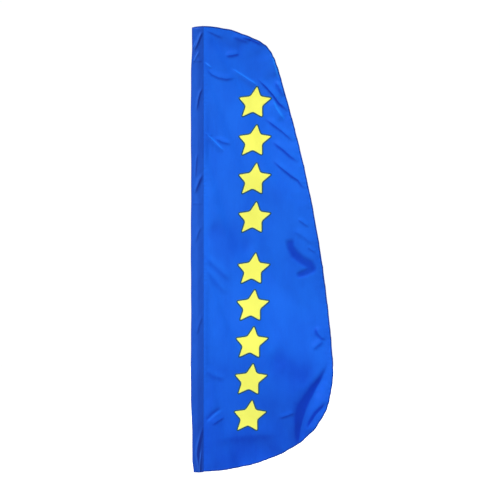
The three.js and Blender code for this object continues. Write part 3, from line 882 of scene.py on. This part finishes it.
def hollow_piece(name, half_width, wall, base, levels, steps, low, **more):
    """A tube with a wall, round the sleeve's hollow."""
    outer, shade, light = sleeve_points(half_width, base + wall, levels, steps, low, **more)
    inner = sleeve_points(half_width - wall, base, levels, steps, low, **more)[0]
    count = outer.shape[1]
    points, faces, _ = skin(outer)
    inner_points, inner_faces, _ = skin(inner)
    shift = len(points)
    faces += [tuple(shift + i for i in reversed(face)) for face in inner_faces]
    last = (len(levels) - 1) * count
    ends = []
    for i in range(count):
        after = (i + 1) % count
        ends.append((i, i + shift, after + shift, after))
        ends.append((last + i, last + after, last + after + shift, last + i + shift))
    made = mesh_object(name, np.vstack([points, inner_points]), faces, ends)
    x, z = points[:, 0], points[:, 2]
    # Painted shade over the sleeve's right half, the side of its ridge over the pole that faces away from
    # the light.
    painted_right_half_shade = 0.15 * smooth((x + 0.004) / 0.014)
    # Painted shade in a thin dark line along the sleeve's folded edge.
    painted_fold_edge_shade = 0.7 * smooth((FOLD_X + 0.005 + fold_drift(z) - x) / 0.005)
    # The sleeve's painted shade from its creases, its right half, its folded edge and towards its ends.
    tone = shade + painted_right_half_shade + painted_fold_edge_shade + painted_end_shade(z, foot=0.46, crown=0.16)
    point_attribute(made, "fold_shade", np.tile(tone, 2))
    point_attribute(made, "fold_light", np.tile(light, 2))
    return made


sleeve_levels = np.concatenate([np.linspace(0, 0.985, 400), np.linspace(0.985, 1, 9)[1:]])
sleeve = hollow_piece("sleeve", SEAM_X, CLOTH_T, SLEEVE_GAP, sleeve_levels, 32, MOUTH_Z)
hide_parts("pole_sleeve", "sleeve_cuff")

facing = hollow_piece(
    "mouth_facing_tape", half_width=SEAM_X - 0.006, wall=0.0003, base=SLEEVE_GAP,
    levels=np.linspace(0, 1, 6), steps=22, low=MOUTH_Z + 0.0006, high=MOUTH_Z + 0.025,
    shy=0.0012, wrinkled=False,
)
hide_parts("mouth_facing")


# ---- stitching ----

def stitches(name, line, face_depth, pitch=0.0032):
    """A row of short raised stitches on both faces: low pyramids, whose feet are sunk in the cloth."""
    places = spaced(line, pitch)
    across = normals_of(places)
    along = np.column_stack([-across[:, 1], across[:, 0]])
    length, width, height, sunk = pitch * 0.38, 0.00040, 0.00035, 0.00015
    corners = ((-1, 0, -sunk), (0, -1, -sunk), (1, 0, -sunk), (0, 1, -sunk), (0, 0, height))
    points, faces = [], []
    for side in (-1, 1):
        depth = face_depth(places, side)
        for forth, out, rise in corners:
            flat = places + along * forth * length + across * out * width
            points.append(at_depth(flat, depth + side * rise))
    count = len(places)
    for at_back in (False, True):
        start = at_back * len(corners) * count
        for i in range(count):
            a, b, c, d, top = (start + k * count + i for k in range(len(corners)))
            for p, q in ((a, b), (b, c), (c, d), (d, a)):
                faces.append((q, p, top) if at_back else (p, q, top))
            faces.append((a, b, c, d) if at_back else (d, c, b, a))
    return mesh_object(name, np.vstack(points), faces)


def on_hem(places, side):
    return surface(*places.T) + side * 0.0010


def on_sleeve(places, side):
    x, z = places.T
    share = np.clip(x / SEAM_X, -1, 1)
    open_by = stand_off(z) * tent(share) + sleeve_relief(x, z, side, share, sleeve_top(x))[0]
    return side * (SLEEVE_GAP + CLOTH_T + open_by)


hem_stitching = stitches("hem_stitching", inset(hem_line, 0.0055), on_hem)
seam_lines = [
    np.array([(SEAM_X - away, MOUTH_Z + 0.004), (SEAM_X - away, sleeve_top(SEAM_X) - 0.008)])
    for away in (0.0018, 0.0062)
]
seam_stitching = [
    stitches(f"seam_stitching_{i}", line, on_sleeve) for i, line in enumerate(seam_lines, 1)
]
mouth_line = np.array([(FOLD_X + 0.016, MOUTH_Z + 0.008), (SEAM_X - 0.008, MOUTH_Z + 0.008)])
mouth_stitching = stitches("mouth_stitching", mouth_line, on_sleeve)


# ---- the tie-down loop and the pocket at the tip ----

def rectangle(low, high, step):
    corners = np.array([low, (high[0], low[1]), high, (low[0], high[1])], float)
    return spaced(corners, step, closed=True)


loop_low, loop_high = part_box("tie_down_loop")
eye_low, eye_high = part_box("tie_down_eyelet")
eye_centre = ((eye_low.x + eye_high.x) / 2, (eye_low.z + eye_high.z) / 2)
LOOP_T, LOOP_FOLD, LOOP_GRID = 0.0012, 0.020, 0.0012
PUFF = 0.00025  # how much thicker the webbing is than at its edges, on each face


def webbing_tab(name, low, high, near, far, hole=None):
    """A flat piece of webbing with soft edges, and a round hole of radius hole for the eyelet."""
    loops = [rectangle(low, high, LOOP_GRID)]
    if hole:
        turns = np.linspace(0, 2 * math.pi, 40, endpoint=False)
        loops.append(eye_centre + hole * np.column_stack([np.cos(turns), np.sin(turns)]))
    flat, triangles = triangulated(loops, LOOP_GRID)
    if hole:
        flat, triangles = only_used(flat, triangles[~inside(flat[triangles].mean(1), loops[1])])
    edge = np.minimum(flat - low, np.array(high) - flat).min(1)
    puff = PUFF * smooth(edge / 0.0010)
    return closed_sheet(name, flat, triangles, near - puff, far - PUFF + puff)


loop_back = webbing_tab(
    "tie_down_webbing", (loop_low.x, loop_low.z), (loop_high.x, loop_high.z),
    near=loop_high.y - LOOP_T + PUFF, far=loop_high.y, hole=0.0051,
)
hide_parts("tie_down_loop")
loop_fold = webbing_tab(
    "tie_down_fold", (loop_low.x, loop_high.z - LOOP_FOLD), (loop_high.x, loop_high.z),
    near=loop_low.y + 0.0006, far=loop_high.y - LOOP_T - 0.0001,
)


def on_loop(places, _side):
    return np.full(len(places), loop_high.y + 0.0001)


def loop_seams():
    """A box and a cross, 3 mm inside the folded part."""
    left, right = loop_low.x + 0.003, loop_high.x - 0.003
    low, high = loop_high.z - LOOP_FOLD + 0.003, loop_high.z - 0.003
    corners = np.array([(left, low), (right, low), (right, high), (left, high)])
    return [corners[[a, b]] for a, b in ((0, 1), (1, 2), (2, 3), (3, 0), (0, 2), (1, 3))]


loop_stitching = [
    stitches(f"loop_stitching_{number}", line, on_loop, pitch=0.0022)
    for number, line in enumerate(loop_seams(), 1)
]


def pocket_piece():
    """The folded webbing that lies in the sleeve's closed top, over the pole's cap."""
    low, high = CAP_TOP + 0.0004, TOP_Z - HEM - CUT_INSET
    half_width, steps = 0.0088, 15
    share = np.linspace(-1, 1, steps)
    rings = []
    for level in np.linspace(0, 1, 9):
        z = low + level * (high - low)
        shrink = 1 - 0.12 * (2 * level - 1) ** 4
        open_by = np.maximum(stand_off(z) - 0.0006, 0.0003) * tent(share * 0.25)
        round_ends = np.sqrt(np.clip(1 - np.abs(share) ** 3, 0, 1))
        ridges = 1 + 0.06 * math.sin(level * 14)
        depth = np.maximum(open_by * round_ends * ridges, 0.0001)
        x = half_width * share * shrink
        front = np.column_stack([x, -depth, np.full(steps, z)])
        back = np.column_stack([x[::-1], depth[::-1], np.full(steps, z)])
        rings.append(np.vstack([front, back]))
    points, faces, ends = skin(np.array(rings), capped=True)
    return mesh_object("tip_pocket_webbing", points, faces, ends)


pocket = pocket_piece()
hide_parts("tip_pocket")


# ---- materials ----

class Recipe:
    """A material's nodes, made one after another."""

    def __init__(self, name):
        self.material = bpy.data.materials.new(name)
        self.material.use_nodes = True
        self.nodes = self.material.node_tree.nodes
        self.links = self.material.node_tree.links
        self.shader = self.nodes["Principled BSDF"]
        self.coords = self.nodes.new("ShaderNodeTexCoord").outputs["Object"]

    def fill(self, node, inputs):
        """Links or sets a node's inputs, given by name with _ for a space, or by number."""
        for key, value in inputs.items():
            socket = node.inputs[key.replace("_", " ") if isinstance(key, str) else key]
            if isinstance(value, bpy.types.NodeSocket):
                self.links.new(value, socket)
            else:
                socket.default_value = value

    def node(self, kind, output, settings, inputs):
        node = self.nodes.new(kind)
        for key, value in settings.items():
            setattr(node, key, value)
        self.fill(node, inputs)
        return node.outputs[output]

    def set(self, **inputs):
        self.fill(self.shader, inputs)

    def scaled(self, scale=(1, 1, 1)):
        inputs = {"Vector": self.coords, "Scale": scale}
        return self.node("ShaderNodeMapping", "Vector", {}, inputs)

    def noise(self, vector, scale, detail=3.0):
        inputs = {"Vector": vector, "Scale": scale, "Detail": detail}
        return self.node("ShaderNodeTexNoise", "Fac", {}, inputs)

    def bands(self, vector, scale, direction):
        inputs = {"Vector": vector, "Scale": scale}
        return self.node("ShaderNodeTexWave", "Fac", {"bands_direction": direction}, inputs)

    def math(self, operation, a, b):
        return self.node("ShaderNodeMath", "Value", {"operation": operation}, {0: a, 1: b})

    def span(self, value, low, high):
        inputs = {"Value": value, "To Min": low, "To Max": high}
        return self.node("ShaderNodeMapRange", "Result", {}, inputs)

    def mixed(self, factor, first, second):
        """Two colours mixed, each a tuple or another node's output."""
        first, second = ((*c, 1) if isinstance(c, tuple) else c for c in (first, second))
        inputs = {"Factor": factor, "A": first, "B": second}
        return self.node("ShaderNodeMix", "Result", {"data_type": "RGBA"}, inputs)

    def attribute(self, name):
        return self.node("ShaderNodeAttribute", "Fac", {"attribute_name": name}, {})

    def bump(self, height, strength, distance):
        inputs = {"Height": height, "Strength": strength, "Distance": distance}
        self.set(Normal=self.node("ShaderNodeBump", "Normal", {}, inputs))


BAND_SCALE = 0.314  # a wave texture's scale times the pitch of its bands


def weave(recipe, pitch):
    """Warp and weft threads that pass over each other, as a height."""
    vector = recipe.scaled()
    warp = recipe.bands(vector, BAND_SCALE / pitch, "X")
    weft = recipe.bands(vector, BAND_SCALE / pitch, "Z")
    return recipe.math("MAXIMUM", warp, weft)


def cloth(name, colour, deep, pale=None, pitch=0.0005, shaded=True):
    """Thin woven cloth. The piece's fold_shade and fold_light, its painted shade and painted highlight,
    mix it towards deep and pale.
    """
    recipe = Recipe(name)
    cloudy = recipe.noise(recipe.scaled((1, 1, 0.6)), 8.0, 5.0)
    streaks = recipe.noise(recipe.scaled((160, 160, 3)), 1.0, 2.0)
    threads = weave(recipe, pitch)
    tone = recipe.math("ADD", recipe.span(cloudy, -0.28, 0.46), recipe.span(streaks, -0.06, 0.10))
    # Darker in the gaps between the threads and paler on their crossings: painted shade and highlight of
    # the weave.
    tone = recipe.math("ADD", tone, recipe.span(threads, 0.10, -0.04))
    if shaded:
        tone = recipe.math("ADD", tone, recipe.attribute("fold_shade"))
    paint = recipe.mixed(recipe.math("MAXIMUM", tone, 0.0), colour, deep)
    if pale:
        paint = recipe.mixed(recipe.attribute("fold_light"), paint, pale)
    rough = recipe.span(recipe.math("MULTIPLY", threads, cloudy), 0.50, 0.65)
    recipe.bump(threads, 0.4, pitch * 0.25)
    recipe.set(Base_Color=paint, Roughness=rough)
    recipe.set(Specular_IOR_Level=0.10, Sheen_Weight=0.03, Sheen_Roughness=0.4)
    return recipe.material


def thread(name, colour, deep):
    """Twisted thread or satin stitching: fine ridges along the UV map's length."""
    recipe = Recipe(name)
    recipe.coords = recipe.nodes["Texture Coordinate"].outputs["UV"]
    ridges = recipe.bands(recipe.scaled((1, 0, 0)), BAND_SCALE / 0.0012, "X")
    cloudy = recipe.noise(recipe.scaled((30, 1, 1)), 2.0)
    # Darker in the grooves between the ridges: painted shade, mixed with random cloudy tone.
    paint = recipe.mixed(recipe.math("MULTIPLY", ridges, cloudy), deep, colour)
    recipe.set(Base_Color=paint, Roughness=recipe.span(cloudy, 0.4, 0.6))
    recipe.bump(ridges, 0.5, 0.0003)
    recipe.set(Specular_IOR_Level=0.3, Sheen_Weight=0.1, Sheen_Roughness=0.4)
    return recipe.material


def metal(name, colour, rough, drawn):
    """Drawn or pressed metal with fine lines along it."""
    recipe = Recipe(name)
    lines = recipe.noise(recipe.scaled(drawn), 1.0, 4.0)
    cloudy = recipe.noise(recipe.scaled(), 60.0)
    darker = tuple(c * 0.78 for c in colour)
    roughness = recipe.span(recipe.math("MULTIPLY", lines, cloudy), rough, rough + 0.25)
    recipe.set(Base_Color=recipe.mixed(cloudy, darker, colour), Roughness=roughness, Metallic=1.0)
    recipe.bump(lines, 0.2, 0.00006)
    return recipe.material


def moulded(name, colour, rough, grain_scale, grain, drawn=(1, 1, 1)):
    """Moulded or pulled plastic with a fine grain of height grain."""
    recipe = Recipe(name)
    grain_height = recipe.noise(recipe.scaled(drawn), grain_scale, 3.0)
    cloudy = recipe.noise(recipe.scaled(), 35.0)
    paler = tuple(min(1.0, c * 1.35 + 0.01) for c in colour)
    roughness = recipe.span(cloudy, rough, rough + 0.15)
    recipe.set(Base_Color=recipe.mixed(cloudy, colour, paler), Roughness=roughness)
    recipe.bump(grain_height, 0.3, grain)
    return recipe.material


# The deep colours take the painted shade from fold_shade, as well as the cloth's random deeper tone; the
# pale ones are painted highlights.
BLUE, DEEP_BLUE = (0.008, 0.135, 0.800), (0.002, 0.044, 0.530)
panel_cloth = cloth("panel_nylon", BLUE, DEEP_BLUE, pale=(0.012, 0.215, 0.960))
# The sleeve's blue is the panel's nylon painted darker: painted shade for its two layers, which let less
# light through.
sleeve_cloth = cloth(
    "sleeve_nylon", (0.012, 0.106, 0.640), (0.006, 0.040, 0.360), pale=(0.035, 0.180, 0.820),
)
hem_cloth = cloth("hem_nylon", (0.004, 0.050, 0.360), (0.002, 0.024, 0.210), shaded=False)
star_cloth = cloth("star_nylon", (0.930, 0.950, 0.150), (0.850, 0.820, 0.090), shaded=False)
webbing = cloth(
    "polyester_webbing", (0.020, 0.060, 0.240), (0.010, 0.030, 0.130), pitch=0.0011, shaded=False,
)
border_thread = thread("border_thread", (0.012, 0.130, 0.210), (0.006, 0.075, 0.140))
blue_thread = thread("blue_thread", (0.025, 0.180, 0.760), (0.012, 0.090, 0.450))

FINISHES = (
    (panel_cloth, [panel]),
    (sleeve_cloth, [sleeve]),
    (hem_cloth, [hem]),
    (star_cloth, stars),
    (webbing, [facing, loop_back, loop_fold, pocket]),
    (border_thread, borders),
    (blue_thread, [hem_stitching, *seam_stitching, mouth_stitching, *loop_stitching]),
)
for material, pieces in FINISHES:
    for piece in pieces:
        piece.data.materials.append(material)
        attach(piece, "flag")

aluminium = metal("drawn_aluminium", (0.62, 0.63, 0.65), 0.28, (900, 900, 6))
steel = metal("turned_steel", (0.50, 0.51, 0.53), 0.22, (300, 300, 300))
brass = metal("pressed_brass", (0.62, 0.43, 0.15), 0.25, (500, 500, 500))
black_plastic = moulded("black_nylon", (0.020, 0.020, 0.023), 0.42, grain_scale=900.0, grain=0.00008)
fibreglass = moulded(
    "pulled_fibreglass", (0.72, 0.70, 0.60), 0.35, grain_scale=1.0, grain=0.00010, drawn=(1500, 1500, 8),
)
CAD_FINISHES = {
    "lower_tube": aluminium, "middle_tube": aluminium, "middle_ferrule": aluminium,
    "ferrule_rivet_front": steel, "ferrule_rivet_back": steel, "rod_pin": steel,
    "tie_down_eyelet": brass, "foot_socket": black_plastic, "upper_reducer": black_plastic,
    "tip_cap": black_plastic, "pole_rod": fibreglass,
}
for node, material in CAD_FINISHES.items():
    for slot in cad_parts[node].material_slots:
        slot.material = material
